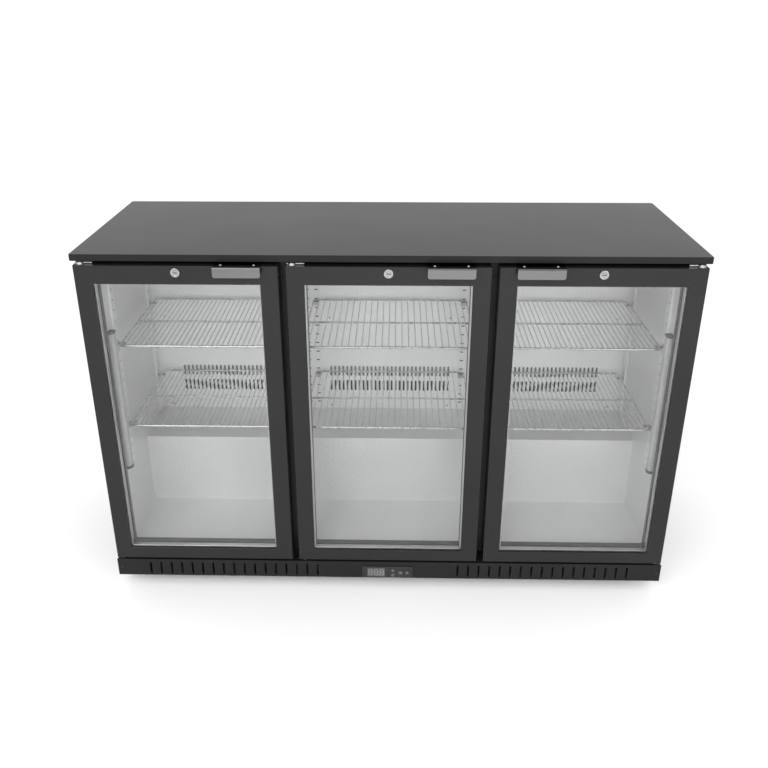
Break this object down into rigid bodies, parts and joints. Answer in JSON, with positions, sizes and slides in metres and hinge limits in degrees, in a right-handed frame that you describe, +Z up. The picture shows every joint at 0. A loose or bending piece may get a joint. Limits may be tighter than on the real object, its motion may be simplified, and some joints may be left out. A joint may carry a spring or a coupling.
{
  "type": "under-counter glass-door bottle cooler",
  "caption": "Under-counter bottle cooler with hinged framed glass doors, wire shelves, slotted kick plate and overhanging worktop.",
  "frame": {"origin": "on the floor, under the middle of the bounding box", "axes": "+X to the right as seen from the front, +Y to the back, +Z up; the doors face -Y"},
  "size_m": [1.35, 0.51, 0.85],
  "materials": {
    "worktop": "satin black-grey sheet",
    "casing": "black powder coat",
    "door_frame": "gloss black",
    "stucco": "stucco embossed",
    "foam": "rigid foam",
    "glass": "clear double glazing",
    "seal": "matte",
    "silver": "satin",
    "chrome": "polished",
    "wire": "bright wire",
    "lamp": "opal diffuser",
    "plastic": "black",
    "key": "dark grey",
    "galvanised": "galvanised sheet",
    "fins": "mill finish",
    "enamel": "black enamel",
    "fan": "black"
  },
  "bodies": {
    "cabinet": {"worktop": "worktop", "cabinet_shell": "casing", "insulation_foam": "foam", "inner_liner": "stucco", "mullion_left": "casing", "mullion_right": "casing", "duct_cover": "stucco", "pilaster_rear_left": "silver", "pilaster_rear_right": "silver", "pilaster_left_front": "silver", "pilaster_left_back": "silver", "lamp_left": "lamp", "pilaster_right_front": "silver", "pilaster_right_back": "silver", "lamp_right": "lamp", "shelf_left_lower": "wire", "shelf_left_upper": "wire", "shelf_middle_lower": "wire", "shelf_middle_upper": "wire", "shelf_right_lower": "wire", "shelf_right_upper": "wire", "evaporator_coil": "fins", "compressor": "enamel", "condenser_coil": "fins", "base_tray": "galvanised", "rear_grille": "casing", "kick_plate": "casing", "controller": "plastic", "top_hinge_left": "silver", "bottom_hinge_left": "silver", "top_hinge_middle": "silver", "bottom_hinge_middle": "silver", "top_hinge_right": "silver", "bottom_hinge_right": "silver"},
    "door_left": {"door_frame_left": "door_frame", "glass_unit_left": "glass", "gasket_left": "seal", "handle_left": "silver", "lock_body_left": "chrome"},
    "lock_plug_left": {"lock_plug_left": "chrome"},
    "door_middle": {"door_frame_middle": "door_frame", "glass_unit_middle": "glass", "gasket_middle": "seal", "handle_middle": "silver", "lock_body_middle": "chrome"},
    "lock_plug_middle": {"lock_plug_middle": "chrome"},
    "door_right": {"door_frame_right": "door_frame", "glass_unit_right": "glass", "gasket_right": "seal", "handle_right": "silver", "lock_body_right": "chrome"},
    "lock_plug_right": {"lock_plug_right": "chrome"},
    "key_set": {"controller_key_set": "key"},
    "key_defrost": {"controller_key_defrost": "key"},
    "foot_front_left": {"foot_front_left": "seal"},
    "foot_front_right": {"foot_front_right": "seal"},
    "foot_rear_left": {"foot_rear_left": "seal"},
    "foot_rear_right": {"foot_rear_right": "seal"},
    "evaporator_fan": {"evaporator_fan": "fan"},
    "condenser_fan": {"condenser_fan": "fan"}
  },
  "joints": [
    {"name": "door_left_hinge", "type": "hinge", "parent": "cabinet", "child": "door_left", "pos_m": [-0.652, -0.225, 0.455], "axis": [0, 0, -1], "range_deg": [0, 100], "stiffness_Nm_per_rad": 0.8},
    {"name": "lock_left_turn", "type": "hinge", "parent": "door_left", "child": "lock_plug_left", "pos_m": [-0.4485, -0.215, 0.815], "axis": [0, -1, 0], "range_deg": [0, 90]},
    {"name": "door_middle_hinge", "type": "hinge", "parent": "cabinet", "child": "door_middle", "pos_m": [-0.2035, -0.225, 0.455], "axis": [0, 0, -1], "range_deg": [0, 100], "stiffness_Nm_per_rad": 0.8},
    {"name": "lock_middle_turn", "type": "hinge", "parent": "door_middle", "child": "lock_plug_middle", "pos_m": [0, -0.215, 0.815], "axis": [0, -1, 0], "range_deg": [0, 90]},
    {"name": "door_right_hinge", "type": "hinge", "parent": "cabinet", "child": "door_right", "pos_m": [0.652, -0.225, 0.455], "axis": [0, 0, 1], "range_deg": [0, 100], "stiffness_Nm_per_rad": 0.8},
    {"name": "lock_right_turn", "type": "hinge", "parent": "door_right", "child": "lock_plug_right", "pos_m": [0.4485, -0.215, 0.815], "axis": [0, -1, 0], "range_deg": [0, 90]},
    {"name": "key_set_press", "type": "slide", "parent": "cabinet", "child": "key_set", "axis": [0, 1, 0], "range_m": [0, 0.0008], "stiffness_N_per_m": 600},
    {"name": "key_defrost_press", "type": "slide", "parent": "cabinet", "child": "key_defrost", "axis": [0, 1, 0], "range_m": [0, 0.0008], "stiffness_N_per_m": 600},
    {"name": "foot_front_left_turn", "type": "hinge", "parent": "cabinet", "child": "foot_front_left", "pos_m": [-0.6, -0.15, 0.02], "axis": [0, 0, 1], "continuous": true},
    {"name": "foot_front_right_turn", "type": "hinge", "parent": "cabinet", "child": "foot_front_right", "pos_m": [0.6, -0.15, 0.02], "axis": [0, 0, 1], "continuous": true},
    {"name": "foot_rear_left_turn", "type": "hinge", "parent": "cabinet", "child": "foot_rear_left", "pos_m": [-0.6, 0.19, 0.02], "axis": [0, 0, 1], "continuous": true},
    {"name": "foot_rear_right_turn", "type": "hinge", "parent": "cabinet", "child": "foot_rear_right", "pos_m": [0.6, 0.19, 0.02], "axis": [0, 0, 1], "continuous": true},
    {"name": "evaporator_fan_spin", "type": "hinge", "parent": "cabinet", "child": "evaporator_fan", "pos_m": [0.02, 0.187, 0.57], "axis": [0, 1, 0], "continuous": true},
    {"name": "condenser_fan_spin", "type": "hinge", "parent": "cabinet", "child": "condenser_fan", "pos_m": [-0.315, 0.142, 0.142], "axis": [1, 0, 0], "continuous": true}
  ]
}
